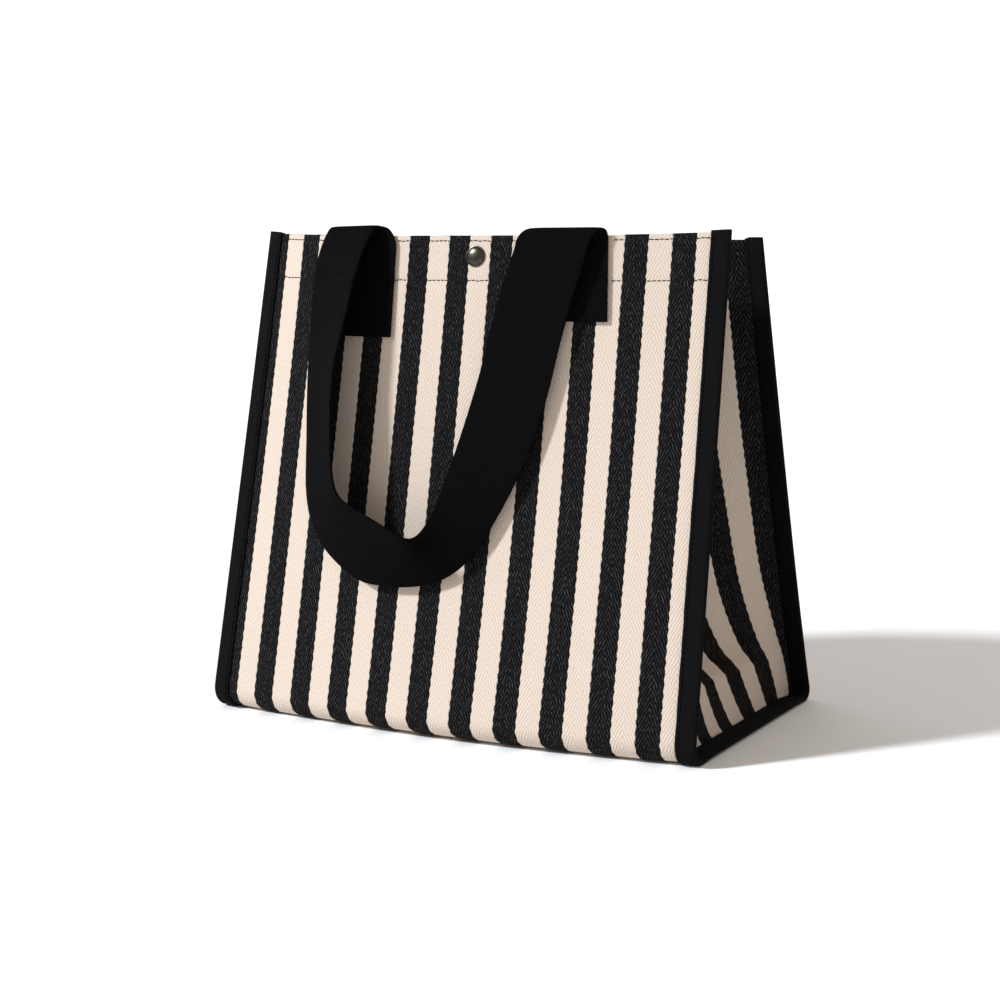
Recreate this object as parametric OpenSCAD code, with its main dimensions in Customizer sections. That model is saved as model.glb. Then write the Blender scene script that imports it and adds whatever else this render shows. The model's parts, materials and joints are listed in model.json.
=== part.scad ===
// Striped canvas tote bag with open mouth, side gussets, bound seams, two webbing handles and a snap.
// Origin: centre of the footprint at floor level. +Z up, -Y towards the front panel, +X to the right.

/* [Body] */
// overall width over the bound side seams
body_w = 330; // [300:5:360]
// height of the top edge above the floor
body_h = 296; // [280:2:310]
// depth of the base, front to back
base_d = 176; // [160:4:184]
// inward lean of the front and back panels at rest, degrees
panel_lean = 12.9; // [10:0.1:13.2]
// outward bulge of each panel at the middle of its top edge
panel_bow = 20; // [12:1:22]
// outward bulge of the front and back lower edges at their middle
base_bow = 13; // [6:1:15]
// share by which the top edge is narrower than the base
taper = 0.042; // [0:0.006:0.06]
// radius where the cloth rounds under into the base
corner_r = 12; // [10:1:15]
// cloth thickness
cloth_t = 1.4; // [1:0.1:1.8]

/* [Seams] */
// width of the bound seam flange
bind_w = 12; // [10:1:14]
// thickness over the binding tape
bind_t = 3.2; // [3:0.1:3.8]
// width of the top hem
hem_w = 27; // [20:1:32]

/* [Handles] */
// webbing width
strap_w = 45; // [38:1:48]
// webbing thickness
strap_t = 2.4; // [2:0.1:2.8]
// distance between the two ends of one handle
strap_pitch = 148; // [140:1:156]
// hanging drop of the loop's centre line below the top edge
strap_drop = 196; // [184:1:204]
// sewn length of the left end
tab_left = 60; // [45:1:65]
// sewn length of the right end
tab_right = 51; // [45:1:65]
// sideways offset of the pair of handle ends
strap_shift = -3; // [-6:1:6]

/* [Snap] */
// diameter of the snap's cap
snap_d = 12.5; // [11:0.5:15]
// height of the snap's centre below the top edge
snap_drop = 12.4; // [11:0.2:15]
// sideways offset of the snap
snap_shift = 4; // [-6:1:6]

/* [Hidden] */
canvas = [0.93, 0.89, 0.84];
tape = [0.08, 0.08, 0.09];
web = [0.06, 0.06, 0.07];
metal = [0.33, 0.30, 0.28];
thread = [0.2, 0.2, 0.22];
hw = body_w / 2;
seam_x = hw - bind_w;
flat_y = base_d / 2 - corner_r;
arc_a = 90 + panel_lean;
hinge_y = flat_y + corner_r * sin(arc_a);
hinge_z = cloth_t / 2 + corner_r - corner_r * cos(arc_a);
panel_l = (body_h - hinge_z) / cos(panel_lean);
mouth_y = hinge_y - panel_l * sin(panel_lean);
swing_n = 4.4;
swing_s = -3.2;
leg_n = 7.6;

// unit vector
function unit(a) = a / norm(a);
// surface normal of f at (u, v)
function nrm(f, u, v) = let (e = 0.01, a = f(u + e, v) - f(u - e, v), b = f(u, v + e) - f(u, v - e)) unit(cross(a, b));

function lin(a, b, n) = [for (i = [0:n]) a + (b - a) * i / n];

// closed sheet of thickness t through f at every (u, v) of two rising lists, moved by off along the normal
module skin(f, us, vs, t, off = 0) {
  nu = len(us) - 1;
  nv = len(vs) - 1;
  pts = [for (k = [0, 1]) for (u = us) for (v = vs) f(u, v) + nrm(f, u, v) * (off + (k - 0.5) * t)];
  function id(k, i, j) = k * (nu + 1) * (nv + 1) + i * (nv + 1) + j;
  quads = concat(
      [for (i = [0:nu - 1]) for (j = [0:nv - 1]) [id(1, i, j), id(1, i, j + 1), id(1, i + 1, j + 1), id(1, i + 1, j)]],
      [for (i = [0:nu - 1]) for (j = [0:nv - 1]) [id(0, i, j), id(0, i + 1, j), id(0, i + 1, j + 1), id(0, i, j + 1)]],
      [for (i = [0:nu - 1]) [id(0, i + 1, 0), id(0, i, 0), id(1, i, 0), id(1, i + 1, 0)]],
      [for (i = [0:nu - 1]) [id(0, i, nv), id(0, i + 1, nv), id(1, i + 1, nv), id(1, i, nv)]],
      [for (j = [0:nv - 1]) [id(0, 0, j), id(0, 0, j + 1), id(1, 0, j + 1), id(1, 0, j)]],
      [for (j = [0:nv - 1]) [id(0, nu, j + 1), id(0, nu, j), id(1, nu, j), id(1, nu, j + 1)]]);
  polyhedron(pts, [for (q = quads) each [[q[0], q[1], q[2]], [q[0], q[2], q[3]]]], convexity = 8);
}

// ribbon through section frames [centre, width direction, normal]
module ribbon(secs, w, t) {
  n = len(secs);
  pts = [for (s = secs) each [s[0] - s[1] * w / 2 - s[2] * t / 2, s[0] + s[1] * w / 2 - s[2] * t / 2,
        s[0] + s[1] * w / 2 + s[2] * t / 2, s[0] - s[1] * w / 2 + s[2] * t / 2]];
  side = [for (i = [0:n - 2]) for (k = [0:3]) let (m = (k + 1) % 4)
      each [[i * 4 + k, i * 4 + m, (i + 1) * 4 + m], [i * 4 + k, (i + 1) * 4 + m, (i + 1) * 4 + k]]];
  ends = [[0, 3, 2], [0, 2, 1], [(n - 1) * 4, (n - 1) * 4 + 1, (n - 1) * 4 + 2], [(n - 1) * 4, (n - 1) * 4 + 2, (n - 1) * 4 + 3]];
  polyhedron(pts, concat(side, ends), convexity = 10);
}

// panel surface in its own frame: x across, v from the lower edge to the top edge
function bulge(x, v) = (base_bow + (panel_bow - base_bow) * v - 12 * v * (1 - v)) * (1 - (x / hw) ^ 2);
fp = function(x, v) let (b = bulge(x, v)) [x * (1 - taper * v), -b * cos(panel_lean), v * panel_l - b * sin(panel_lean)];
// distance along the panel from the top edge to v
function pv(s) = 1 - s / panel_l;

// base surface: v is the distance along the cloth from the centre line, rounding up at front and back
function ease(b) = b * b * (3 - 2 * b);
function inner(x) = ease(max(0, min(1, (abs(x) - (seam_x - 26)) / 26)));
function rise(x) = 6.5 * inner(x) * (1 - min(1, max(0, (abs(x) - seam_x) / bind_w)) ^ 1.3);
arc_l = corner_r * arc_a * PI / 180;
edge_v = flat_y + arc_l - 1.6;
fb = function(x, v) let (a = abs(v), s = v < 0 ? -1 : 1, t = max(0, a - flat_y) / corner_r * 180 / PI,
      up = max(0, 1 - max(0, a - flat_y + 12) / 12))
  [x, s * (min(a, flat_y) + corner_r * sin(t) + base_bow * (1 - (x / hw) ^ 2) * ease(max(0, min(1, (a - flat_y + 18) / (18 + arc_l))))), cloth_t / 2 + corner_r * (1 - cos(t)) + rise(x) * up + 1.1 * inner(x) * max(0, 1 - t / 90)];

// half depth of a gusset's seam edges at height z, and the depth of its inward fold
function half_d(z) = z < hinge_z ? flat_y + sqrt(corner_r ^ 2 - (corner_r - z + cloth_t / 2) ^ 2) + base_bow * 0.1
  : hinge_y - (z - hinge_z) * tan(panel_lean) + bulge(seam_x, (z - hinge_z) / (body_h - hinge_z));
function fold_d(z) = 0.96 * sqrt(max(0.01, (base_d / 2) ^ 2 - min(half_d(z), base_d / 2 - 2) ^ 2)) * min(1, (z - 8) / 30);
function soft(u) = (sqrt(u * u + 0.02) - sqrt(0.02)) / (sqrt(1.02) - sqrt(0.02));
fg = function(u, v) let (z = 10.2 + v * (body_h - 11.2), a = half_d(z) - cloth_t / 2 - 1.9)
  [(seam_x - 1) * (1 - taper * max(0, z - hinge_z) / (body_h - hinge_z)) - fold_d(z) * (1 - soft(u)), u * a, z];

// handle centre line: across / pitch, drop / strap_drop, stand-off from the panel, turn of the inner edge away from it
loop = [[0.5, 0.03, leg_n, 0], [0.45, 0.07, leg_n, 0], [0.39, 0.13, leg_n, 0], [0.345, 0.22, 7, 0], [0.3, 0.37, 7, 0],
    [0.255, 0.56, 6.8, 3], [0.18, 0.75, 9, 10], [0.08, 0.9, 12, 20], [-0.08, 1.0, 16, 28], [-0.24, 0.995, 18, 30],
    [-0.38, 0.955, 20, 31], [-0.49, 0.87, 20, 32], [-0.54, 0.73, 20, 33], [-0.575, 0.55, 20, 33], [-0.6, 0.37, 19, 30],
    [-0.59, 0.22, 15, 18], [-0.54, 0.1, 10, 6], [-0.5, 0.03, leg_n, 0]];
function cr(p0, p1, p2, p3, t) = 0.5 * (2 * p1 + (p2 - p0) * t + (2 * p0 - 5 * p1 + 4 * p2 - p3) * t ^ 2 + (3 * p1 - p0 - 3 * p2 + p3) * t ^ 3);
function at(q) = let (m = len(loop) - 1, i = min(floor(q), m - 1), t = q - i)
  cr(loop[max(0, i - 1)], loop[i], loop[i + 1], loop[min(m, i + 2)], t);
function on_panel(p) = let (x = p[0] * strap_pitch + strap_shift, v = pv(p[1] * strap_drop)) fp(x, v) + nrm(fp, x, v) * p[2];
function frame_at(q) = let (m = len(loop) - 1, p = at(q), a = on_panel(at(max(0, q - 0.05))), b = on_panel(at(min(m, q + 0.05))),
    t = unit(b - a), x = p[0] * strap_pitch + strap_shift, n0 = nrm(fp, x, pv(p[1] * strap_drop)),
    e = min(1, min(q, m - q) / 2.2), k = e * e * (3 - 2 * e), ends = [q < m / 2 ? 1 : -1, 0, 0],
    w0 = unit(cross(n0, t)), w1 = unit(w0 * k + ends * (1 - k)), n1 = unit(n0 - w1 * (n0 * w1)),
    w = w1 * cos(p[3]) - n1 * sin(p[3]))
  [on_panel(p), w, unit(cross(w, t))];

module front_frame() translate([0, -hinge_y, hinge_z]) rotate([-panel_lean, 0, 0]) children();
module back() mirror([0, 1, 0]) children();

// grid lines shared by the cloth and the tape round its edge
function vs_panel(e) = concat([1.6 / panel_l - e], lin(0.04, 0.96, 11), [1 + e]);
function edge_xs(e) = [seam_x - e, seam_x + 4, seam_x + 8, hw - 1.3 + e];
function xs() = concat([for (x = [3:-1:0]) -edge_xs(0)[x]], lin(-seam_x + 13, seam_x - 13, 18), edge_xs(0));
function flip(l) = [for (i = [len(l) - 1:-1:0]) -l[i]];
function side(l, s) = s > 0 ? l : flip(l);
module panel_cloth() color(canvas) front_frame() difference() {
  skin(fp, xs(), vs_panel(0), cloth_t);
  translate([snap_shift * (1 - taper), 0, fp(snap_shift, pv(snap_drop))[2]]) rotate([90, 0, 0]) cylinder(h = 80, d = 5, center = true, $fn = 32);
}
module panel_binding(s) color(tape) front_frame() difference() {
  skin(fp, side([seam_x, seam_x + 4, seam_x + 8, hw], s), concat([1.6 / panel_l], lin(0.04, 0.96, 11), [1 + 0.8 / panel_l]), bind_t);
  skin(fp, side(edge_xs(0.4), s), vs_panel(0.01), cloth_t + 0.4);
}
module tab(s, l) color(web) front_frame() {
  c = strap_shift + s * strap_pitch / 2;
  b = strap_w / 2 / (1 - taper);
  skin(fp, lin(c - b, c + b, 6), lin(pv(l), pv(-0.8), 3), strap_t, cloth_t / 2 + strap_t / 2 + 0.25);
}
module hem_rows() color(thread) front_frame() for (s = [2.9, hem_w]) {
  l = strap_shift - strap_pitch / 2;
  r = strap_shift + strap_pitch / 2;
  b = strap_w / 2 / (1 - taper) + 1;
  for (e = [[-seam_x + 3, l - b, 4], [l + b, r - b, 8], [r + b, seam_x - 3, 5]])
    skin(fp, lin(e[0], e[1], e[2]), [pv(s + 0.35), pv(s - 0.35)], 0.45, cloth_t / 2 + 0.5);
}
module tab_rows() color(thread) front_frame() for (k = [[-1, tab_left], [1, tab_right]]) {
  c = strap_shift + k[0] * strap_pitch / 2;
  o = cloth_t / 2 + strap_t + 0.65;
  b = strap_w / 2 - 3.5;
  for (s = [k[1] - 3.5, hem_w - 4]) skin(fp, lin(c - b, c + b, 4), [pv(s + 0.35), pv(s - 0.35)], 0.4, o);
  for (e = [-1, 1]) skin(fp, [c + e * b - 0.35, c + e * b + 0.35], lin(pv(k[1] - 4.4), pv(hem_w - 3.1), 3), 0.4, o);
}

// frame on the panel's outer face at the snap
module at_snap() front_frame() translate(fp(snap_shift, pv(snap_drop))) {
  n = nrm(fp, snap_shift, pv(snap_drop));
  rotate([90 - asin(n[2]), 0, 0]) children();
}
module cap() color(metal) at_snap() {
  difference() {
    union() {
      translate([0, 0, cloth_t / 2 + 0.3]) rotate_extrude($fn = 64) polygon(concat([[0, 0], [snap_d / 2, 0], [snap_d / 2, 0.5]],
          [for (i = [0:9]) let (a = i * 10) [(snap_d / 2 - 0.5) * cos(a), 0.7 + 1.6 * sin(a)]], [[0, 2.3]]));
      translate([0, 0, -cloth_t / 2 - 0.2]) cylinder(h = cloth_t + 1, d = 4, $fn = 32);
    }
    translate([0, 0, -cloth_t / 2 - 1]) cylinder(h = cloth_t + 1.6, d = 2.6, $fn = 32);
  }
}
module socket() color(metal) at_snap() difference() {
  translate([0, 0, -cloth_t / 2 - 0.4 - 2.8]) union() {
    cylinder(h = 2.8, d = snap_d - 3, $fn = 64);
    translate([0, 0, 1.8]) cylinder(h = 1, d = snap_d - 0.8, $fn = 64);
  }
  translate([0, 0, -cloth_t / 2 - 4]) cylinder(h = 3.2, d = 4.8, $fn = 48);
}
module stud() color(metal) at_snap() translate([0, 0, -cloth_t / 2 - 0.4 - 1]) {
  cylinder(h = 1, d = snap_d - 0.8, $fn = 64);
  translate([0, 0, -2.6]) rotate_extrude($fn = 48) polygon([[0, 0], [1.7, 0], [2.1, 0.5], [2.1, 1.1], [1.8, 1.6], [1.8, 2.6], [0, 2.6]]);
}
module loop_strap() color(web) front_frame()
  ribbon([for (i = [0:64]) frame_at((len(loop) - 1) * i / 64)], strap_w, strap_t);

function rise_xs() = lin(seam_x - 25, seam_x - 5, 5);
function half_v(e) = concat([flat_y - 44, flat_y - 18, flat_y - 12, flat_y - 8, flat_y - 4], lin(flat_y, edge_v - 2, 8), [edge_v + e]);
function vs_base(e) = concat(flip(half_v(e)), [0], half_v(e));
module base_panel() color(canvas) skin(fb, concat([for (x = [3:-1:0]) -edge_xs(0)[x]], flip(rise_xs()), lin(-100, 100, 8), rise_xs(), edge_xs(0)), vs_base(0), cloth_t);
module base_binding(s) color(tape) difference() {
  skin(fb, side([seam_x, seam_x + 4, seam_x + 8, hw], s), vs_base(0), bind_t);
  skin(fb, side(edge_xs(0.4), s), vs_base(1.5), cloth_t + 0.4);
}
module base_binding_right() base_binding(1);
module base_binding_left() base_binding(-1);
module gusset_right() color(canvas) skin(fg, concat([-1, -0.8, -0.6, -0.45], lin(-0.3, 0.3, 10), [0.45, 0.6, 0.8, 1]), concat([0, 0.02, 0.05, 0.09, 0.13], lin(0.2, 1, 10)), cloth_t);
module gusset_left() mirror([1, 0, 0]) gusset_right();
module front_panel() panel_cloth();
module back_panel() back() panel_cloth();
module front_binding_right() panel_binding(1);
module front_binding_left() panel_binding(-1);
module back_binding_right() back() panel_binding(1);
module back_binding_left() back() panel_binding(-1);
module front_tab_left() tab(-1, tab_left);
module front_tab_right() tab(1, tab_right);
module back_tab_left() back() tab(-1, tab_left);
module back_tab_right() back() tab(1, tab_right);
module front_hem_stitching() hem_rows();
module back_hem_stitching() back() hem_rows();
module front_tab_stitching() tab_rows();
module back_tab_stitching() back() tab_rows();
module snap_cap_front() cap();
module snap_cap_back() back() cap();
module snap_socket() socket();
module snap_stud() back() stud();
module front_handle_loop() loop_strap();
module back_handle_loop() back() loop_strap();

base_panel();
gusset_right();
gusset_left();
base_binding_right();
base_binding_left();
front_panel();
front_binding_right();
front_binding_left();
front_tab_left();
front_tab_right();
front_hem_stitching();
front_tab_stitching();
snap_cap_front();
snap_socket();
back_panel();
back_binding_right();
back_binding_left();
back_tab_left();
back_tab_right();
back_hem_stitching();
back_tab_stitching();
snap_cap_back();
snap_stud();
front_handle_loop();
back_handle_loop();
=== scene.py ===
import bpy
import json
import math
import numpy as np
from mathutils import Matrix, Vector


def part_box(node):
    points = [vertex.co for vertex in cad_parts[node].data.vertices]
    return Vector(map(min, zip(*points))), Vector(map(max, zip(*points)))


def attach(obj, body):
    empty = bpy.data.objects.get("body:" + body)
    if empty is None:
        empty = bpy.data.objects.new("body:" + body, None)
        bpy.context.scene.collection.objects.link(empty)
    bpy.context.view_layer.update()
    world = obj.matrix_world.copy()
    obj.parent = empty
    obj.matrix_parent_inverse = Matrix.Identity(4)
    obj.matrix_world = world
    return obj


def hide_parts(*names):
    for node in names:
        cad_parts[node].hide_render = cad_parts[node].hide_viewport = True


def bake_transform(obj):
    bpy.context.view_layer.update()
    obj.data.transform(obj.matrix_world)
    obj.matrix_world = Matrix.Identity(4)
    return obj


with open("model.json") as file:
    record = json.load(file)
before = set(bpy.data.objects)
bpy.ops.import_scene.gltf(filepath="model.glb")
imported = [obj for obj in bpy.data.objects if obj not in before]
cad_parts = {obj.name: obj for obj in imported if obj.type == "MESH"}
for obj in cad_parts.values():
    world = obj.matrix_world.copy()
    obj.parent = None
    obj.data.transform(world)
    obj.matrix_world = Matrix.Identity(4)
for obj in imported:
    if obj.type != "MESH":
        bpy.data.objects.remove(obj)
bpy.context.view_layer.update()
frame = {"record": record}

# ---------------------------------------------------------------- sizes, in millimetres, read off the CAD frame
JOINTS = {j["name"]: j for j in frame["record"]["behaviour"]["joints"]}
HY = -JOINTS["front_panel_lean"]["pos_m"][1] * 1000
HZ = JOINTS["front_panel_lean"]["pos_m"][2] * 1000
LEAN = math.radians(12.9)
ARC = math.pi / 2 + LEAN
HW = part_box("base_binding_right")[1].x * 1000 - 0.3
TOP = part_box("front_panel")[1].z * 1000 - 0.2
BIND = 12.0
SEAM = HW - BIND
TAPER = 0.042
TH = 1.3
PITCH = 14.53
AXIS_Y = -JOINTS["front_handle_swing"]["pos_m"][1] * 1000
AXIS_Z = JOINTS["front_handle_swing"]["pos_m"][2] * 1000


class Half:
    """One half's line of cloth: flat base, rolled lower edge of radius r, then the leaning panel up to `top`."""

    def __init__(self, r, top):
        self.r, self.top = r, top
        self.hz = 0.75 + r * (1 - math.cos(ARC))
        self.hy = HY + (HZ - self.hz) * math.tan(LEAN)
        self.flat = self.hy - r * math.sin(ARC)
        self.hinge = self.flat + r * ARC
        self.pl = (top - self.hz) / math.cos(LEAN)
        self.tt = self.hinge + self.pl

    def profile(self, t):
        t = np.asarray(t, float)
        a = np.clip((t - self.flat) / self.r, 0, ARC)
        up = np.maximum(0, t - self.hinge)
        return (-(np.minimum(t, self.flat) + self.r * np.sin(a)) + up * math.sin(LEAN),
                0.75 + self.r * (1 - np.cos(a)) + up * math.cos(LEAN))

    def t_at(self, z):
        return np.where(z > self.hz, self.hinge + (z - self.hz) / math.cos(LEAN),
                        self.flat + self.r * np.arccos(np.clip(1 - (z - 0.75) / self.r, -1, 1)))


HALF = {1: Half(12.0, TOP), -1: Half(6.0, TOP - 3.4)}


def ss(a, b, v):
    q = np.clip((np.asarray(v, float) - a) / (b - a), 0, 1)
    return q * q * (3 - 2 * q)


def surf(x, t, side=1):
    """Middle surface of the body cloth; side 1 is the front and -1 the back."""
    x, t = np.broadcast_arrays(np.asarray(x, float), np.asarray(t, float))
    k = HALF[side]
    y, z = k.profile(t)
    v = np.clip((t - k.hinge) / k.pl, 0, 1.05)
    h = x / HW
    on = ss(k.flat - 18, k.hinge, t)
    amp = np.where(t < k.hinge, 14 * on, 14 + 6 * v) - 12 * v * (1 - v)
    amp = amp * (1 - h * h)
    amp = amp + (-3.0 if side > 0 else 2.0) * v * (h - h ** 3) * 2.6
    if side < 0:
        amp = amp + 5.5 * (1 - v) ** 4 * on
    # soft undulation of the cloth, different on each side
    p = 0.0 if side > 0 else 2.1
    edge = 1 - np.abs(h) ** 6
    wav = (0.6 * np.sin(0.031 * x + 0.012 * t + 0.7 + p) + 0.45 * np.sin(0.019 * x - 0.024 * t + 2.2 + 2 * p)
           + 0.25 * np.sin(0.067 * x + 0.018 * t + 1.1 + p) * ss(0.35, 1, v))
    amp = amp + wav * on * edge
    # the cloth pulls in a little along the hem's lower seam
    s = k.tt - t
    amp = amp - 0.35 * np.exp(-((s - 27) / 2.2) ** 2) * edge
    # towards the seams the base lifts a touch and the bound flange droops back to the floor
    inner = ss(0, 1, (np.abs(x) - (SEAM - 26)) / 26)
    up = np.maximum(0, 1 - np.maximum(0, t - k.flat + 12) / 12)
    z = z + 1.7 * inner * up * (1 - 0.6 * np.minimum(1, np.maximum(0, (np.abs(x) - SEAM) / BIND)))
    z = z + 1.1 * inner * np.maximum(0, 1 - np.clip((t - k.flat) / k.r, 0, 9) / (math.pi / 2))
    # the top edge rises a little to the corners; behind, it dips beside them
    if side > 0:
        z = z + 1.9 * v ** 4 * h ** 4
    else:
        z = z - 1.8 * v ** 6 * ss(0, 14, SEAM + 2 - np.abs(x))
    z = z + 0.5 * (1 - on) * (0.5 + 0.5 * np.sin(0.04 * x + 0.03 * t + p)) * (1 - inner)
    return np.stack([x * (1 - TAPER * v), side * (y - amp), z], -1)


def normal(x, t, side=1):
    e = 0.6
    a = surf(x + e, t, side) - surf(x - e, t, side)
    b = surf(x, np.asarray(t, float) + e, side) - surf(x, np.asarray(t, float) - e, side)
    n = np.cross(a, b) * side
    return n / np.linalg.norm(n, axis=-1, keepdims=True)


def at(x, t, n=0.0, side=1):
    return surf(x, t, side) + normal(x, t, side) * np.asarray(n, float)[..., None]


def w_lean(t, side=1):
    """How far a point at t on the cloth follows the panel rather than the base."""
    return ss(HALF[side].hinge - 12, HALF[side].hinge + 16, t)


# ---------------------------------------------------------------- mesh helpers
def make(name, verts, faces, uvs=None, smooth=True, mat=None, sharp=40):
    me = bpy.data.meshes.new(name)
    me.from_pydata((np.asarray(verts) / 1000).tolist(), [], faces)
    me.update()
    if uvs is not None:
        layer = me.uv_layers.new(name="cloth")
        loops = np.zeros(len(me.loops), np.int32)
        me.loops.foreach_get("vertex_index", loops)
        layer.data.foreach_set("uv", np.asarray(uvs, np.float32)[loops].ravel())
    ob = bpy.data.objects.new(name, me)
    bpy.context.scene.collection.objects.link(ob)
    if mat:
        me.materials.append(mat)
    if smooth:
        me.shade_smooth()
        me.set_sharp_from_angle(angle=math.radians(sharp))
    return ob


def shell(P, th, flip=False):
    """Closed sheet round the grid P (I, J, 3) of middle points. Returns verts, faces and each vert's grid index."""
    I, J = P.shape[:2]
    a = np.gradient(P, axis=0)
    b = np.gradient(P, axis=1)
    n = np.cross(a, b)
    n /= np.maximum(np.linalg.norm(n, axis=-1, keepdims=True), 1e-9)
    if flip:
        n = -n
    th = np.broadcast_to(np.asarray(th, float), P.shape[:2])[..., None]
    verts = np.concatenate([(P + n * th / 2).reshape(-1, 3), (P - n * th / 2).reshape(-1, 3)])
    idx = np.arange(I * J).reshape(I, J)
    o = I * J
    f = []
    A, B, C, D = idx[:-1, :-1], idx[1:, :-1], idx[1:, 1:], idx[:-1, 1:]
    top = np.stack([A, B, C, D], -1).reshape(-1, 4)
    bot = np.stack([D, C, B, A], -1).reshape(-1, 4) + o
    rims = []
    for line in (idx[:, 0], idx[-1, :], idx[::-1, -1], idx[0, ::-1]):
        p, q = line[:-1], line[1:]
        rims.append(np.stack([q, p, p + o, q + o], -1))
    f = np.concatenate([top, bot, *rims])
    if flip:
        f = f[:, ::-1]
    return verts, f.tolist(), np.concatenate([idx.ravel(), idx.ravel()])


def bend(ob):
    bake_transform(ob)
    return ob


def stitch_mesh(centres, along, up, length, width=0.62, height=0.5):
    """One small rounded thread per row of centres, lying along `along` and standing on `up`."""
    ring = 6
    prof = [(-0.5, 0.0, -0.55), (-0.44, 0.75, 0.0), (-0.2, 1.0, 0.25), (0.2, 1.0, 0.25), (0.44, 0.75, 0.0), (0.5, 0.0, -0.55)]
    V, F = [], []
    c = np.asarray(centres, float)
    along = along / np.linalg.norm(along, axis=-1, keepdims=True)
    across = np.cross(up, along)
    across /= np.linalg.norm(across, axis=-1, keepdims=True)
    for i in range(len(c)):
        base = len(V)
        for k, (s, r, h) in enumerate(prof):
            o = c[i] + along[i] * s * length + up[i] * h * height
            if k in (0, len(prof) - 1):
                V.append(o)
                continue
            for m in range(ring):
                q = 2 * math.pi * m / ring
                V.append(o + across[i] * math.cos(q) * r * width / 2 + up[i] * math.sin(q) * r * height / 2)
        n = len(prof)
        rings = [base + 1 + ring * k for k in range(n - 2)]
        end = base + 1 + ring * (n - 2)
        for m in range(ring):
            F.append([base, rings[0] + (m + 1) % ring, rings[0] + m])
            F.append([end, rings[-1] + m, rings[-1] + (m + 1) % ring])
            for k in range(n - 3):
                F.append([rings[k] + m, rings[k] + (m + 1) % ring, rings[k + 1] + (m + 1) % ring, rings[k + 1] + m])
    return np.array(V), F, 2 + ring * (len(prof) - 2)


def stitch_row(fn, w_fn, q0, q1, pitch, length, wobble=0.12, seed=1):
    """Stitches along fn(q) -> (point, up) for q in millimetres."""
    rng = np.random.RandomState(seed)
    n = max(1, int((q1 - q0) / pitch))
    q = q0 + (np.arange(n) + 0.5) * (q1 - q0) / n
    p, up = fn(q)
    p2, _ = fn(q + 0.4)
    p1, _ = fn(q - 0.4)
    along = p2 - p1
    along /= np.linalg.norm(along, axis=-1, keepdims=True)
    across = np.cross(up, along)
    p = p + across * rng.uniform(-wobble, wobble, (n, 1))
    along = along + across * rng.uniform(-0.05, 0.05, (n, 1))
    V, F, per = stitch_mesh(p, along, up, length)
    return V, F, np.repeat(w_fn(q), per)


def gather(parts):
    V, F, W, o = [], [], [], 0
    for v, f, w in parts:
        V.append(v)
        F += [[i + o for i in x] for x in f]
        W.append(w)
        o += len(v)
    return np.concatenate(V), F, np.concatenate(W)


# ---------------------------------------------------------------- materials
class G:
    """Small helper that writes shader math."""

    def __init__(self, name, rough=0.9, spec=0.2):
        self.m = bpy.data.materials.new(name)
        self.m.use_nodes = True
        self.t = self.m.node_tree
        self.b = self.t.nodes["Principled BSDF"]
        self.b.inputs["Roughness"].default_value = rough
        self.b.inputs["Specular IOR Level"].default_value = spec

    def node(self, kind, **k):
        n = self.t.nodes.new(kind)
        for a, v in k.items():
            setattr(n, a, v)
        return n

    def put(self, sock, v):
        if isinstance(v, bpy.types.NodeSocket):
            self.t.links.new(v, sock)
        else:
            sock.default_value = v

    def math(self, op, a, b=0.0, c=0.0):
        n = self.node("ShaderNodeMath", operation=op)
        self.put(n.inputs[0], a)
        self.put(n.inputs[1], b)
        self.put(n.inputs[2], c)
        return n.outputs[0]

    def add(self, a, b): return self.math("ADD", a, b)
    def sub(self, a, b): return self.math("SUBTRACT", a, b)
    def mul(self, a, b): return self.math("MULTIPLY", a, b)

    def sin(self, a, period, phase=0.0):
        return self.math("SINE", self.add(self.mul(a, 2 * math.pi / period), phase))

    def step(self, a, lo, hi):
        n = self.node("ShaderNodeMapRange", interpolation_type="SMOOTHSTEP", clamp=True)
        self.put(n.inputs["Value"], a)
        n.inputs["From Min"].default_value, n.inputs["From Max"].default_value = lo, hi
        n.inputs["To Min"].default_value, n.inputs["To Max"].default_value = 0.0, 1.0
        return n.outputs["Result"]

    def mix(self, f, a, b):
        n = self.node("ShaderNodeMix", data_type="RGBA")
        self.put(n.inputs[0], f)
        for s, v in ((n.inputs[6], a), (n.inputs[7], b)):
            if isinstance(v, tuple):
                v = (*v, 1.0) if len(v) == 3 else v
            self.put(s, v)
        return n.outputs[2]

    def uv(self):
        n = self.node("ShaderNodeUVMap", uv_map="cloth")
        s = self.node("ShaderNodeSeparateXYZ")
        self.t.links.new(n.outputs[0], s.inputs[0])
        return s.outputs[0], s.outputs[1]

    def noise(self, x, y, scale, detail=2.0, rough=0.5):
        c = self.node("ShaderNodeCombineXYZ")
        self.put(c.inputs[0], x)
        self.put(c.inputs[1], y)
        n = self.node("ShaderNodeTexNoise")
        n.inputs["Scale"].default_value = scale
        n.inputs["Detail"].default_value = detail
        n.inputs["Roughness"].default_value = rough
        self.t.links.new(c.outputs[0], n.inputs["Vector"])
        return n.outputs["Fac"]

    def bump(self, h, dist, strength=1.0):
        n = self.node("ShaderNodeBump")
        n.inputs["Strength"].default_value = strength
        n.inputs["Distance"].default_value = dist
        self.t.links.new(h, n.inputs["Height"])
        self.t.links.new(n.outputs["Normal"], self.b.inputs["Normal"])

    def colour(self, v):
        if isinstance(v, tuple):
            v = (*v, 1.0)
        self.put(self.b.inputs["Base Color"], v)
        return self.m


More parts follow.
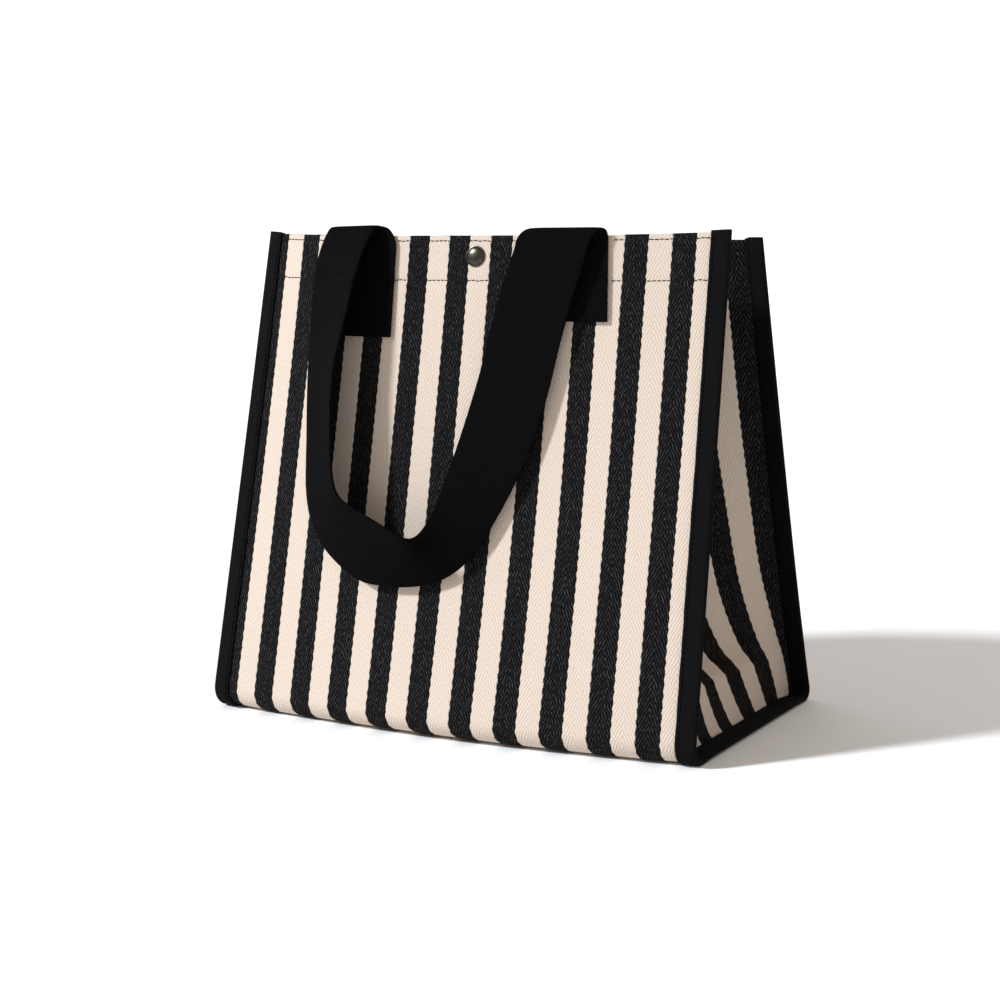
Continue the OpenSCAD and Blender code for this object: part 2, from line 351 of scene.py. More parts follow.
def canvas():
    """Cream and near-black stripes, each stripe one column of steep chevrons. U counts stripes and V is metres of cloth."""
    g = G("striped_canvas", 0.95, 0.04)
    u, v = g.uv()
    k = g.add(u, g.mul(g.sin(v, 0.0062), 0.016))
    fl = g.math("FLOOR", k)
    black = g.math("FLOORED_MODULO", fl, 2.0)
    fr = g.math("SUBTRACT", k, fl)
    d = g.math("ABSOLUTE", g.sub(fr, 0.5))
    run = g.add(v, g.mul(d, 0.0285))
    slow = g.noise(g.mul(u, 0.0145), v, 22.0, 2.0)
    twill = g.sin(run, 0.0037, g.mul(slow, 1.5))
    yarn = g.sin(v, 0.00105)
    fine = g.noise(g.mul(u, 14.5), g.mul(v, 1000.0), 0.9, 3.0, 0.6)
    fleck = g.noise(g.mul(u, 14.5 * 1.3), g.mul(run, 650.0), 0.8, 1.5, 0.5)
    cream = g.mix(g.step(twill, -1.0, 0.1), (0.535, 0.442, 0.365), (0.635, 0.537, 0.459))
    cream = g.mix(g.mul(g.step(fine, 0.35, 0.75), 0.2), cream, (0.69, 0.592, 0.515))
    dots = g.mul(g.step(fleck, 0.47, 0.62), g.step(twill, 0.15, 0.85))
    dark = g.mix(g.step(twill, -0.2, 0.9), (0.0036, 0.0036, 0.0042), (0.0115, 0.0115, 0.012))
    dark = g.mix(g.mul(dots, 0.6), dark, (0.078, 0.074, 0.070))
    dark = g.mix(g.mul(g.step(fine, 0.5, 0.8), 0.25), dark, (0.035, 0.034, 0.033))
    # a dark hairline of crossing yarn on each side of a stripe's edge
    edge = g.step(d, 0.465, 0.5)
    cream = g.mix(g.mul(edge, g.step(g.sin(v, 0.0021), -0.3, 0.6)), cream, (0.33, 0.285, 0.24))
    g.colour(g.mix(black, cream, dark))
    h = g.add(g.mul(twill, 0.5), g.add(g.mul(yarn, 0.16), g.mul(fine, 0.5)))
    h = g.sub(h, g.mul(edge, 0.7))
    g.bump(h, 0.0002, 0.8)
    return g.m


def tape():
    g = G("binding_tape", 0.9, 0.05)
    u, v = g.uv()
    rib = g.sin(u, 0.0008)
    weft = g.sin(g.add(v, g.mul(u, 0.4)), 0.0009)
    n = g.noise(g.mul(u, 1000), g.mul(v, 1000), 0.8, 3)
    g.colour(g.mix(n, (0.0030, 0.0030, 0.0034), (0.0062, 0.0062, 0.0066)))
    g.bump(g.add(g.mul(g.mul(rib, weft), 0.5), g.mul(n, 0.5)), 0.00012, 0.7)
    return g.m


def webbing():
    """Flat black cotton webbing: fine ribs along it, crossed by a tight weft, with firmer selvedges."""
    g = G("webbing", 0.9, 0.03)
    u, v = g.uv()
    rib = g.sin(u, 0.0016)
    weft = g.math("SINE", g.add(g.mul(v, 2 * math.pi / 0.0013), g.mul(g.math("SIGN", rib), 1.57)))
    n = g.noise(g.mul(u, 1000), g.mul(v, 1000), 0.7, 3)
    g.colour(g.mix(g.step(g.add(g.mul(weft, 0.4), n), 0.2, 0.9), (0.0016, 0.0016, 0.0019), (0.0042, 0.0042, 0.0046)))
    g.bump(g.add(g.mul(weft, 0.5), g.add(g.mul(rib, 0.4), g.mul(n, 0.5))), 0.00022, 0.75)
    return g.m


def thread():
    g = G("thread", 0.8, 0.1)
    tc = g.node("ShaderNodeTexCoord")
    n = g.node("ShaderNodeTexNoise")
    n.inputs["Scale"].default_value = 1500.0
    g.t.links.new(tc.outputs["Object"], n.inputs["Vector"])
    g.colour(g.mix(n.outputs["Fac"], (0.005, 0.005, 0.006), (0.013, 0.0125, 0.012)))
    return g.m


def metal():
    g = G("dark_metal", 0.26, 0.5)
    g.b.inputs["Metallic"].default_value = 1.0
    tc = g.node("ShaderNodeTexCoord")
    n = g.node("ShaderNodeTexNoise")
    n.inputs["Scale"].default_value = 700.0
    n.inputs["Detail"].default_value = 3.0
    g.t.links.new(tc.outputs["Object"], n.inputs["Vector"])
    g.colour(g.mix(n.outputs["Fac"], (0.062, 0.051, 0.043), (0.095, 0.08, 0.068)))
    r = g.node("ShaderNodeMapRange")
    r.inputs["To Min"].default_value, r.inputs["To Max"].default_value = 0.2, 0.34
    g.t.links.new(n.outputs["Fac"], r.inputs["Value"])
    g.t.links.new(r.outputs["Result"], g.b.inputs["Roughness"])
    return g.m


M_CANVAS, M_TAPE, M_WEB, M_THREAD, M_METAL = canvas(), tape(), webbing(), thread(), metal()
# the finishes listed by slot name; nothing below reads this table
SLOTS = {"striped_canvas": M_CANVAS, "binding_tape": M_TAPE, "webbing": M_WEB, "thread": M_THREAD, "dark_metal": M_METAL}

SIDES = [(1, "front"), (-1, "back")]


def stripes(x):
    return (x + 165.0) / PITCH - 1.306


# ---------------------------------------------------------------- body cloth: base, panel and folded hem in one sheet per half
def body_cloth(side, name):
    xs = np.unique(np.concatenate([np.linspace(-HW + 1.4, HW - 1.4, 125), [-SEAM, SEAM]]))
    k = HALF[side]
    TT = k.tt
    ts = np.concatenate([np.linspace(0, k.flat - 2, 26), np.linspace(k.flat, k.hinge, 15), np.linspace(k.hinge + 3, TT - 30, 82),
                         np.linspace(TT - 28, TT - 1.0, 18)])
    rows = [(t, 0.0, t) for t in ts]
    r = 1.05
    for a in np.linspace(15, 165, 6):
        q = math.radians(a)
        rows.append((TT - 1.0 + r * math.sin(q), -r * (1 - math.cos(q)), TT - 1.0 + r * q))
    base = TT - 1.0 + r * math.pi
    inside = np.linspace(0, 26.5, 16)
    for d in inside:
        rows.append((TT - 1.0 - d, -2 * r - 0.25 * math.sin(d / 26.5 * math.pi), base + d))
    rows.append((TT - 28.0, -1.9, base + 27.6))
    T = np.array([q[0] for q in rows])
    N = np.array([q[1] for q in rows])
    V = np.array([q[2] for q in rows])
    X, TG = np.meshgrid(xs, T, indexing="ij")
    # inside the tape the turned hem is pressed flat
    N = N[None] * (1 - 0.72 * ss(SEAM - 4, SEAM + 1, np.abs(xs)))[:, None]
    P = at(X, TG, N, side)
    verts, faces, idx = shell(P, (TH - 0.2) * (1 - 0.6 * ss(SEAM - 4, SEAM + 1, np.abs(xs)))[:, None], flip=side < 0)
    uv = np.stack([np.broadcast_to(stripes(xs)[:, None], X.shape), np.broadcast_to(V / 1000, X.shape)], -1).reshape(-1, 2)[idx]
    ob = make(f"body_cloth_{name}", verts, faces, uv, mat=M_CANVAS, sharp=55)
    bend(ob)
    return ob


for side, name in SIDES:
    body_cloth(side, name)
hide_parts("front_panel", "base_panel")
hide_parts("back_panel")


# ---------------------------------------------------------------- gussets, folded inward
def seam_line(z, side):
    """Distance in y from the middle to the gusset's seam on one panel's inner face, at height z."""
    p = surf(SEAM - 0.6, HALF[side].t_at(z), side)
    return -side * p[..., 1] - 1.15


def gusset_pos(u, z0, hand):
    """u is 0 at the fold, 1 at the back seam and -1 at the front seam; hand 1 is the right gusset."""
    u, z0 = np.broadcast_arrays(u, z0)
    back = ss(-1, 1, u)
    top = TOP - 0.9 - 3.4 * back
    z0 = LOW + (z0 - LOW) * (top - LOW) / (TOP - 0.9 - LOW)
    up = ss(200, 296, z0)
    z = z0 - (1 - np.abs(u)) ** 1.5 * 3.2 * up - (0.9 - 1.9 * (1 - back)) * up * 0.8
    zz = np.clip(z, 3.2, None)
    af, ab = seam_line(zz, 1), seam_line(zz, -1)
    a = np.where(u < 0, af, ab)
    m = (af + ab) / 2
    half = HY + 1.5
    depth = 0.955 * np.sqrt(np.maximum(0.01, half ** 2 - np.minimum(m, half - 2) ** 2)) * np.clip((zz - 2.5) / 38, 0, 1) ** 0.8
    e = 0.02 + 0.05 * (1 - ss(0, 120, zz))
    soft = (np.sqrt(u * u + e) - np.sqrt(e)) / (np.sqrt(1 + e) - np.sqrt(e))
    v = np.clip((zz - HZ) / (TOP - HZ), 0, 1)
    edge = (SEAM - 0.4) * (1 - TAPER * v)
    x = edge - depth * (1 - soft)
    # the cloth bellies a little between seam and fold
    x = x - 2.2 * np.sin(np.pi * np.abs(u)) * ss(10, 90, zz) * (1 - 0.3 * v)
    y = u * a + 1.2 * np.sin(zz * 0.021 + 0.6) * (1 - u * u) * ss(20, 80, zz) * v
    x = x + 0.5 * np.sin(0.05 * zz + 2.0 * u + (0.0 if hand > 0 else 1.3)) * (1 - u * u) * ss(10, 40, zz)
    return np.stack([hand * x, y, z], -1)


LOW = 3.4


def gusset_half(hand, side, name):
    u = np.concatenate([np.linspace(0, 0.25, 12), np.linspace(0.29, 1, 26)]) * (-side)
    zs = np.concatenate([np.linspace(LOW, 40, 20), np.linspace(43, 266, 60), np.linspace(268.5, TOP - 0.9, 14)])
    U, Z = np.meshgrid(u, zs, indexing="ij")
    P = gusset_pos(U, Z, hand)
    # hem: the top edge turned to the inside of the bag
    a, b = np.gradient(P, axis=0), np.gradient(P, axis=1)
    n = np.cross(a, b)
    n /= np.linalg.norm(n, axis=-1, keepdims=True)
    if (n[:, 40, 0] * hand).mean() < 0:
        n = -n
    outward = n
    J = len(zs)
    fold = []
    # beside the seam the turned hem is pressed flat
    press = (0.25 + 0.75 * ss(0, 0.07, 1 - np.abs(u)))[:, None]
    for q, m in ((45, 0.9), (90, 1.8), (135, 2.3), (180, 2.6)):
        k = math.radians(q)
        fold.append(P[:, -1] - outward[:, -1] * (1 - math.cos(k)) * press + np.array([0, 0, 1.0]) * math.sin(k) * 1.0)
    back = [P[:, J - 1 - i] - outward[:, J - 1 - i] * 2.0 * press for i in range(0, 13)]
    G2 = np.concatenate([P, np.stack(fold, 1), np.stack(back, 1)], 1)
    zrow = np.concatenate([zs, np.full(4, zs[-1]), zs[::-1][:13]])
    V = np.concatenate([zs, zs[-1] + np.array([0.8, 1.6, 2.4, 3.1]), zs[-1] + 3.1 + (zs[-1] - zs[::-1][:13])])
    flip = (hand * side) > 0
    verts, faces, idx = shell(G2, TH - 0.3, flip=flip)
    # cloth position across the gusset, in stripes
    # its stripes run into the curved bottom seam at a slant, so they spread a little there
    spread = 1 - ss(10, 110, Z)
    along = (U * 88 * (1 - 0.14 * spread) + 88 + 5 * spread - 164.0) / PITCH + 9.0
    along = np.concatenate([along, np.repeat(along[:, -1:], 4, 1), along[:, ::-1][:, :13]], 1)
    uv = np.stack([along, np.broadcast_to(V / 1000, G2.shape[:2])], -1).reshape(-1, 2)[idx]
    ob = make(f"gusset_{'right' if hand > 0 else 'left'}_{name}", verts, faces, uv, mat=M_CANVAS, sharp=60)
    w = gusset_w(np.broadcast_to(U[:, :1], G2.shape[:2]), np.broadcast_to(zrow, G2.shape[:2])).ravel()[idx]
    bend(ob)
    return ob


def gusset_w(u, z):
    return np.where(u < 0, w_lean(HALF[1].t_at(z), 1), w_lean(HALF[-1].t_at(z), -1)) * ss(0.0, 1.0, np.abs(u))


for hand, hname in ((1, "right"), (-1, "left")):
    for side, name in SIDES:
        gusset_half(hand, side, name)
    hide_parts(f"gusset_{hname}")


# ---------------------------------------------------------------- binding tape round the seam allowance
def binding(hand, side, name):
    k = HALF[side]
    ts = np.concatenate([np.linspace(0, k.flat - 2, 26), np.linspace(k.flat, k.hinge, 16), np.linspace(k.hinge + 3, k.tt - 4, 76),
                         np.linspace(k.tt - 2, k.tt + 1.1, 4)])
    # across: inner edge on the outer face, round the free edge, back to the inner edge on the other face
    path = [(0.0, 1.15), (0.6, 1.35), (3, 1.45), (6, 1.5), (9, 1.5), (10.4, 1.42)]
    path += [(10.6 + 1.15 * math.cos(math.radians(q)), 1.25 * math.sin(math.radians(q))) for q in (60, 35, 12, -12, -35, -60)]
    path += [(10.4, -1.42), (9, -1.5), (6, -1.5), (3, -1.45), (0.6, -1.35), (0.0, -1.15)]
    d = np.array([p[0] for p in path])
    n = np.array([p[1] for p in path])
    D, T = np.meshgrid(d, ts, indexing="ij")
    N = np.broadcast_to(n[:, None], D.shape)
    rng = 0.10 * np.sin(T * 0.35 + hand) + 0.08 * np.sin(T * 0.13)
    P = at(hand * (SEAM + D + rng * (D < 0.1)), T, N, side)
    # keep the tape off the floor
    P[..., 2] = np.maximum(P[..., 2], 0.98)
    verts, faces, idx = shell(P, 0.62, flip=(hand * side) < 0)
    q = np.concatenate([[0], np.cumsum(np.hypot(np.diff(d), np.diff(n)))])
    uv = np.stack([np.broadcast_to(q[:, None] / 1000, D.shape), T / 1000], -1).reshape(-1, 2)[idx]
    ob = make(f"binding_{'right' if hand > 0 else 'left'}_{name}", verts, faces, uv, mat=M_TAPE, sharp=50)
    bend(ob)
    return ob


bindings = {}
for hand, hname in ((1, "right"), (-1, "left")):
    for side, name in SIDES:
        b = bindings[hname, name] = binding(hand, side, name)
        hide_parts(f"{name}_binding_{hname}")
    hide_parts(f"base_binding_{hname}")


# ---------------------------------------------------------------- handles: one strap each, both ends sewn outside the panel
STRAP = 45.0
STRAP_T = 2.3
# for each station the strap's inner edge and outer edge: across, distance below the top edge, stand-off from the cloth
EDGES = np.array([
    (47.8, 51, 2.1, 94.1, 51, 2.3), (47, 40, 2.2, 93.4, 40, 2.4),
    (46.1, 26, 2.2, 92.6, 26.1, 2.5), (45.2, 12, 2.2, 91.7, 12.1, 2.5),
    (44.6, 4, 2.3, 91.2, 4.1, 2.6), (44.3, 0.3, 2.9, 90.9, 0.4, 3.2),
    (43.8, -1.7, 4.4, 90.3, -1.6, 4.7), (42.1, -2.7, 6.3, 88.7, -2.5, 6.6),
    (38.7, -1.3, 8, 85.5, -0.6, 8.4), (35.4, 2.7, 8.7, 82.2, 5, 9.7),
    (33.5, 10.3, 8.6, 79.7, 16.5, 9.9), (30.2, 21.5, 8.5, 75.7, 31.2, 9.2),
    (25.9, 38, 8.1, 71.2, 48.2, 8.3), (21.2, 59.3, 7.6, 66.4, 68.7, 7.2),
    (16.7, 82.8, 7.2, 62, 91.2, 6.5), (11.2, 106, 7.5, 56.9, 112.9, 6.4),
    (5.9, 127.7, 8.5, 51, 132.2, 6.2), (1.5, 146, 10.7, 43.8, 149.5, 6),
    (-1.7, 161.5, 14, 35.7, 166, 5.8), (-4.2, 173.3, 19, 26.8, 182.5, 5.6),
    (-6.3, 180.9, 24, 17, 195.8, 5.6), (-8.7, 184.2, 28, 6.6, 204.2, 5.6),
    (-11.3, 184.8, 31, -4.3, 209.1, 5.6), (-14.8, 183.9, 32.5, -14.6, 211.7, 6.1),
    (-21.1, 180.8, 33, -25.3, 213, 6.5), (-29.9, 176.5, 32.3, -37.6, 213.2, 7),
    (-41.3, 171.7, 31, -52.3, 211.4, 8), (-50, 168, 30.2, -68.2, 203.2, 8.8),
    (-56.7, 164.1, 30.3, -82.9, 191.3, 9.1), (-60.9, 158.8, 31, -93.7, 175.8, 8.9),
    (-63.6, 149.9, 31.8, -99.4, 159.3, 8.4), (-65.7, 136.8, 32.1, -102.1, 143.2, 7.8),
    (-67.8, 121.1, 31.9, -104.2, 127, 7.4), (-69.8, 104.5, 31.2, -106.5, 110.1, 7.2),
    (-71, 88.7, 30, -108.5, 92.7, 7), (-71, 73.9, 28.2, -109.7, 75.9, 7.1),
    (-70.2, 59.8, 26.1, -110.2, 61, 7.4), (-69.6, 46.5, 24, -110.6, 47.8, 7.7),
    (-69.2, 34.3, 22.2, -111, 34.9, 7.4), (-68.4, 23.1, 20.2, -110.9, 22.3, 6.8),
    (-67.3, 12.5, 17.5, -109.3, 11.1, 6.3), (-66.3, 3.5, 14, -106.4, 3.0, 6.3),
    (-64.6, -3.7, 9.8, -102.6, -3.0, 6.8), (-61.6, -4.5, 6, -100.2, -3.6, 6.3),
    (-58.4, -3.3, 3.8, -99.9, -2.8, 4.2), (-55.4, 0.7, 2.8, -100.0, 0.7, 3.2),
    (-53.6, 6.1, 2.6, -100.1, 6.1, 2.9), (-53.3, 16.1, 2.6, -99.7, 16.1, 2.9),
    (-52.8, 30.1, 2.6, -99.1, 30.1, 2.9), (-52.3, 46.1, 2.7, -98.5, 46.1, 2.9),
    (-51.8, 62.5, 2.7, -97.8, 62.5, 2.8),
])
C0, C1 = 7, 43


def spline(S, q):
    m = len(S) - 1
    i = np.clip(np.floor(q).astype(int), 0, m - 1)
    t = (q - i)[:, None]
    p0, p1, p2, p3 = S[np.maximum(i - 1, 0)], S[i], S[i + 1], S[np.minimum(i + 2, m)]
    return 0.5 * (2 * p1 + (p2 - p0) * t + (2 * p0 - 5 * p1 + 4 * p2 - p3) * t ** 2 + (3 * p1 - p0 - 3 * p2 + p3) * t ** 3)


def handle(side, name):
    E = EDGES.copy()
    if side < 0:
        # behind, the strap hugs the top edge and hangs a little flatter
        E[:, [1, 4]] = np.where(E[:, [1, 4]] < 0, E[:, [1, 4]] * 0.45, E[:, [1, 4]])
        k = np.arange(len(E))
        E[:, [2, 5]] += (0.5 * np.sin(k * 0.5) * ss(9, 14, k) * (1 - ss(36, 41, k)))[:, None]
    q = np.linspace(0, len(E) - 1, (len(E) - 1) * 7 + 1)
    C = spline(E, q)
    Pi = at(C[:, 0], HALF[side].tt - C[:, 1], C[:, 2], side)
    Po = at(C[:, 3], HALF[side].tt - C[:, 4], C[:, 5], side)
    P, W = (Pi + Po) / 2, (Po - Pi) / 2
    T = np.gradient(P, axis=0)
    T /= np.linalg.norm(T, axis=-1, keepdims=True)
    free = ss(C0 + 0.5, C0 + 5.5, q) * (1 - ss(C1 - 6, C1 - 0.8, q))
    Mn = np.cross(T, W)
    Mn /= np.linalg.norm(Mn, axis=-1, keepdims=True)
    c = np.array([-1, -0.985, -0.94, -0.8, -0.6, -0.4, -0.2, 0, 0.2, 0.4, 0.6, 0.8, 0.94, 0.985, 1.0])
    length = np.concatenate([[0], np.cumsum(np.linalg.norm(np.diff(P, axis=0), axis=-1))])
    grid = P[None] + c[:, None, None] * W[None]
    # the strap cups slightly across its width where it hangs free
    cup = (c ** 2 - 0.4)[:, None] * (0.55 * free)[None]
    grid = grid + cup[..., None] * Mn[None]
    th = STRAP_T * (1 - 0.42 * np.abs(c) ** 14)[:, None] * np.ones(len(q))[None]
    verts, faces, idx = shell(grid, th, flip=side < 0)
    uv = np.stack([np.broadcast_to((c * STRAP / 2000)[:, None], grid.shape[:2]), np.broadcast_to(length / 1000, grid.shape[:2])], -1)
    ob = make(f"handle_{name}", verts, faces, uv.reshape(-1, 2)[idx], mat=M_WEB, sharp=60)
    w = ss(C0 - 1.6, C0 + 2.4, q) * (1 - ss(C1 - 2.4, C1 + 1.6, q))
    w = np.broadcast_to(w, grid.shape[:2]).ravel()[idx]
    bend(ob)
    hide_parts(f"{name}_tab_left", f"{name}_tab_right", f"{name}_handle_loop")
    return ob, float(length[-1])


handles = {}
for side, name in SIDES:
    handles[name], strap_len = handle(side, name)
print("strap length mm", round(strap_len))


# ---------------------------------------------------------------- stitching
def row_on_panel(side, s, lift=0.0):
    def fn(q):
        t = np.full_like(q, HALF[side].tt - s)
        return at(q, t, TH / 2 - 0.1 + lift, side), normal(q, t, side)
    return fn


for side, name in SIDES:
    parts = []
    TT = HALF[side].tt
    b = STRAP / 2 + 0.6
    for k, s in enumerate((2.9, 27.0)):
        for j, (a, c) in enumerate(((-SEAM + 0.5, -77 - b), (-77 + b, 71 - b), (71 + b, SEAM - 0.5))):
            parts.append(stitch_row(row_on_panel(side, s), lambda q: np.ones_like(q), a, c, 3.0, 2.85, wobble=0.2, seed=5 * k + j + 1))
    V, F, W = gather(parts)
    ob = make(f"hem_stitches_{name}", V, F, mat=M_THREAD, sharp=60)
    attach(ob, name)
    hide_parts(f"{name}_hem_stitching")
    # box stitching on the sewn handle ends
    parts = []
    for c0, low in ((-77, 60), (71, 51)):
        def horiz(s):
            return lambda q: (at(q, np.full_like(q, TT - s), 2.05 + STRAP_T / 2 + 0.05, side), normal(q, np.full_like(q, TT - s), side))
        def vert(x):
            return lambda q: (at(np.full_like(q, x), TT - q, 2.05 + STRAP_T / 2 + 0.05, side), normal(np.full_like(q, x), TT - q, side))
        def diag(x0, x1, s0, s1):
            def fn(q):
                f = (q - s0) / (s1 - s0)
                xx = x0 + (x1 - x0) * f
                return at(xx, TT - q, 2.05 + STRAP_T / 2 + 0.05, side), normal(xx, TT - q, side)
            return fn
        hb, top = STRAP / 2 - 3.5, 22.0
        one = lambda q: np.ones_like(q)
        parts.append(stitch_row(horiz(low - 3.5), one, c0 - hb, c0 + hb, 3.0, 2.4, seed=11))
        parts.append(stitch_row(horiz(top), one, c0 - hb, c0 + hb, 3.0, 2.4, seed=12))
        parts.append(stitch_row(vert(c0 - hb), one, top, low - 3.5, 3.0, 2.4, seed=13))
        parts.append(stitch_row(vert(c0 + hb), one, top, low - 3.5, 3.0, 2.4, seed=14))
        parts.append(stitch_row(diag(c0 - hb, c0 + hb, top, low - 3.5), one, top + 1, low - 4.5, 2.3, 2.4, seed=15))
        parts.append(stitch_row(diag(c0 + hb, c0 - hb, top, low - 3.5), one, top + 1, low - 4.5, 2.3, 2.4, seed=16))
    V, F, W = gather(parts)
    ob = make(f"handle_stitches_{name}", V, F, mat=M_WEB, sharp=60)
    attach(ob, name)
    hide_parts(f"{name}_tab_stitching")
    # one row along the tape's inner edge, on both faces
    for hand, hname in ((1, "right"), (-1, "left")):
        parts = []
        for lift in (1.8, -1.8):
            def fn(q, lift=lift):
                return at(np.full_like(q, hand * (SEAM + 1.7)), q, lift, side), normal(np.full_like(q, hand * (SEAM + 1.7)), q, side) * (1 if lift > 0 else -1)
            lo = HALF[side].flat - 4 if lift > 0 else HALF[side].hinge + 4
            parts.append(stitch_row(fn, lambda q: w_lean(q, side), lo, TT - 1.5, 3.2, 2.6, seed=31 if lift > 0 else 32))
        V, F, W = gather(parts)
        ob = make(f"binding_stitches_{hname}_{name}", V, F, mat=M_WEB, sharp=60)
        bend(ob)
        # hem rows on the gusset
        parts = []
        for s in (4.0, 27.0):
            def fg(q, s=s):
                u = q / 88.0 * (-side)
                z = np.full_like(q, TOP - 0.9 - s)
                p = gusset_pos(u, z, hand)
                a = gusset_pos(u + 0.01, z, hand) - gusset_pos(u - 0.01, z, hand)
                c = gusset_pos(u, z + 0.5, hand) - gusset_pos(u, z - 0.5, hand)
                nn = np.cross(a, c)
                nn /= np.linalg.norm(nn, axis=-1, keepdims=True)
                nn = nn * np.where(nn[:, :1] * hand < 0, -1, 1)
                return p + nn * (TH - 0.3) / 2, nn
            parts.append(stitch_row(fg, lambda q, s=s: gusset_w(q / 88.0, np.full_like(q, TOP - 0.9 - s)), 1.5, 86, 3.0, 2.85, seed=41))
        V, F, W = gather(parts)
        ob = make(f"gusset_hem_stitches_{hname}_{name}", V, F, mat=M_THREAD, sharp=60)
        bend(ob)


# ---------------------------------------------------------------- snap
def lathe(points, origin, axis, name, steps=56, mat=M_METAL):
    axis = np.asarray(axis) / np.linalg.norm(axis)
    a = np.cross(axis, [0, 0, 1.0])
    a /= np.linalg.norm(a)
    b = np.cross(axis, a)
    V, F = [], []
    for r, h in points:
        for k in range(steps):
            q = 2 * math.pi * k / steps
            V.append(origin + axis * h + (a * math.cos(q) + b * math.sin(q)) * r)
    n = len(points)
    for j in range(n - 1):
        for k in range(steps):
            F.append([j * steps + k, (j + 1) * steps + k, (j + 1) * steps + (k + 1) % steps, j * steps + (k + 1) % steps])
    F.append([k for k in range(steps)])
    F.append([(n - 1) * steps + k for k in reversed(range(steps))])
    return make(name, np.array(V), F, mat=mat, sharp=35)


SNAP_X, SNAP_S = 4.0, 12.4
for side, name in SIDES:
    o = at(np.float64(SNAP_X), np.float64(HALF[side].tt - SNAP_S), 0.0, side)
    ax = normal(np.float64(SNAP_X), np.float64(HALF[side].tt - SNAP_S), side)
    dome = [(1.4, -0.9), (1.4, 0.4), (5.9, 0.45), (6.2, 0.55), (6.3, 0.8), (6.3, 1.15), (6.15, 1.35), (5.85, 1.42), (5.55, 1.38), (5.4, 1.5)]
    dome += [(5.35 * math.cos(math.radians(q)), 1.5 + 1.35 * math.sin(math.radians(q))) for q in (8, 18, 30, 42, 54, 66, 78, 87)]
    cap = lathe(dome, o, ax, f"snap_cap_{name}")
    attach(cap, name)
    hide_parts(f"snap_cap_{name}")
    back = -1.05 - 1.75
    if side > 0:
        ring = [(1.4, back + 1.0), (5.6, back + 1.0), (5.8, back + 0.8), (5.8, back + 0.4), (5.5, back + 0.15), (4.6, back), (4.5, back - 1.2),
                (4.2, back - 1.6), (3.2, back - 1.6), (2.6, back - 1.3), (2.4, back - 1.0), (2.4, back + 0.2), (1.4, back + 0.3)]
        inner = lathe(ring, o, ax, "snap_socket_ring")
        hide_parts("snap_socket")
    else:
        st = [(1.4, back + 1.0), (5.6, back + 1.0), (5.8, back + 0.8), (5.8, back + 0.4), (5.5, back + 0.15), (2.2, back), (1.8, back - 0.4),
              (1.8, back - 1.2), (2.1, back - 1.6), (2.1, back - 2.1), (1.7, back - 2.5), (0.8, back - 2.6)]
        inner = lathe(st, o, ax, "snap_stud_post")
        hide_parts("snap_stud")
    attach(inner, name)

for side, name in SIDES:
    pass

# ---------------------------------------------------------------- stage, light and camera
floor_mat = G("floor", 0.9, 0.1)
floor_mat.colour((0.97, 0.97, 0.98))
sweep = [(-6.0, 0.0), (2.6, 0.0)] + [(2.6 + 0.9 * math.sin(math.radians(q)), 0.9 - 0.9 * math.cos(math.radians(q))) for q in range(6, 91, 6)] + [(3.5, 5.0)]
rot = math.radians(28.6)
V, F = [], []
for y, z in sweep:
    for x in (-7.0, 7.0):
        V.append((x * math.cos(rot) - y * math.sin(rot), x * math.sin(rot) + y * math.cos(rot), z))
for k in range(len(sweep) - 1):
    F.append((2 * k, 2 * k + 1, 2 * k + 3, 2 * k + 2))
me = bpy.data.meshes.new("floor")
me.from_pydata(V, [], F)
me.materials.append(floor_mat.m)
me.shade_smooth()
floor = bpy.data.objects.new("floor", me)
bpy.context.scene.collection.objects.link(floor)

world = bpy.data.worlds.new("studio")
bpy.context.scene.world = world
world.use_nodes = True
world.node_tree.nodes["Background"].inputs[0].default_value = (1.0, 0.915, 0.82, 1)
world.node_tree.nodes["Background"].inputs[1].default_value = 0.48


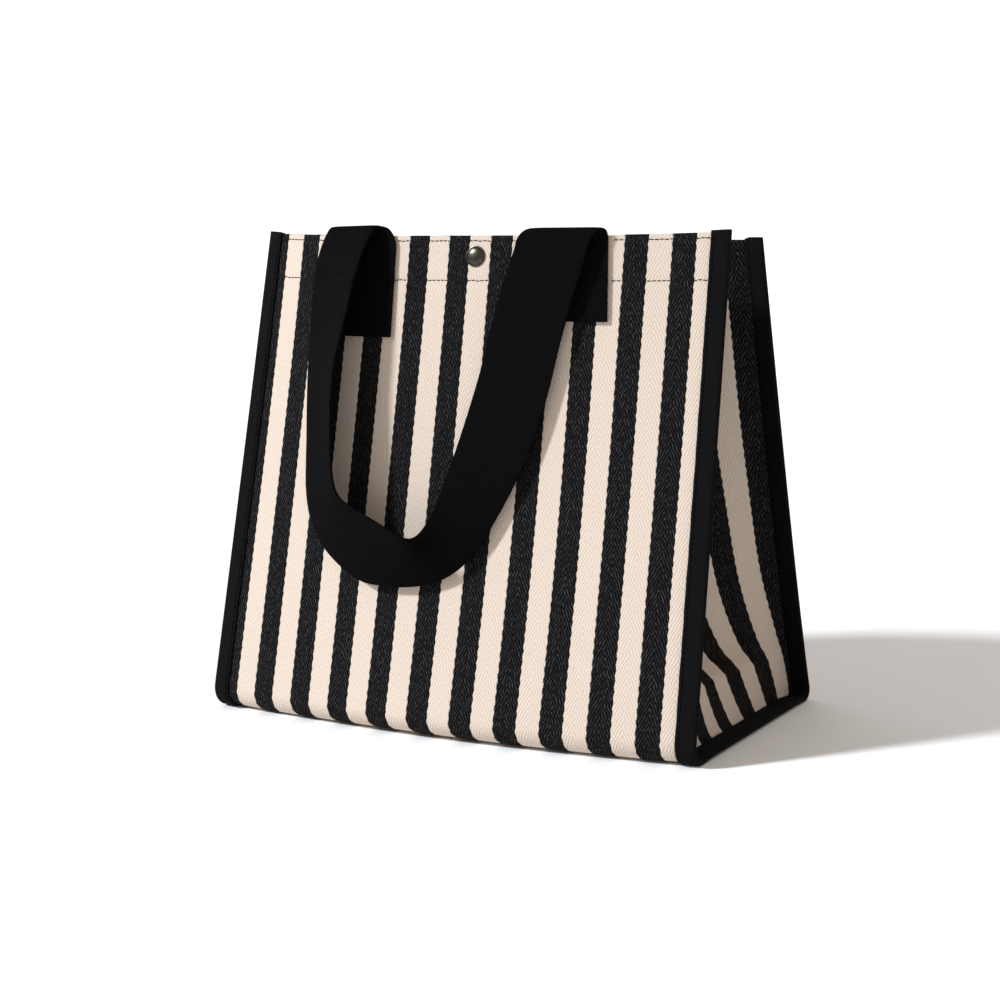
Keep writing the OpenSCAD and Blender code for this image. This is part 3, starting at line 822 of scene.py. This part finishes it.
def area(name, loc, target, size, power, colour=(1, 1, 1)):
    d = bpy.data.lights.new(name, "AREA")
    d.shape = "DISK"
    d.size = size
    d.energy = power
    d.color = colour
    o = bpy.data.objects.new(name, d)
    o.location = loc
    o.rotation_euler = (Vector(target) - Vector(loc)).to_track_quat("-Z", "Y").to_euler()
    bpy.context.scene.collection.objects.link(o)
    return o


sun_d = bpy.data.lights.new("key", "SUN")
sun_d.energy = 3.75
sun_d.angle = math.radians(7)
sun_d.color = (0.94, 1.0, 1.06)
sun = bpy.data.objects.new("key", sun_d)
sun.rotation_euler = Vector((1.02, 1.0, -0.95)).to_track_quat("-Z", "Y").to_euler()
bpy.context.scene.collection.objects.link(sun)
area("front_fill", (1.6, -2.2, 1.0), (0, 0, 0.15), 1.6, 3)

cam_d = bpy.data.cameras.new("camera")
cam = bpy.data.objects.new("camera", cam_d)
bpy.context.scene.collection.objects.link(cam)
CAM = dict(f=2023.317, dist=1267.114, yaw=28.582, pitch=8.118, cx=-4.876, cy=131.623, roll=-0.544, px=500.75, py=499.79)
a, e, gm = (math.radians(CAM[k]) for k in ("yaw", "pitch", "roll"))
d = Vector((math.sin(a) * math.cos(e), -math.cos(a) * math.cos(e), math.sin(e)))
r = Vector((math.cos(a), math.sin(a), 0))
u = d.cross(r)
c = r * CAM["cx"] / 1000 + Vector((0, 0, CAM["cy"] / 1000))
r, u = r * math.cos(gm) + u * math.sin(gm), -r * math.sin(gm) + u * math.cos(gm)
loc = c + d * CAM["dist"] / 1000
cam.matrix_world = Matrix(((r.x, u.x, d.x, loc.x), (r.y, u.y, d.y, loc.y), (r.z, u.z, d.z, loc.z), (0, 0, 0, 1)))
cam_d.sensor_width = 36
cam_d.lens = CAM["f"] / 1000 * 36
cam_d.shift_x = (500 - CAM["px"]) / 1000
cam_d.shift_y = (CAM["py"] - 500) / 1000
cam_d.clip_start, cam_d.clip_end = 0.05, 50
bpy.context.scene.camera = cam
bpy.context.scene.view_settings.view_transform = "Standard"
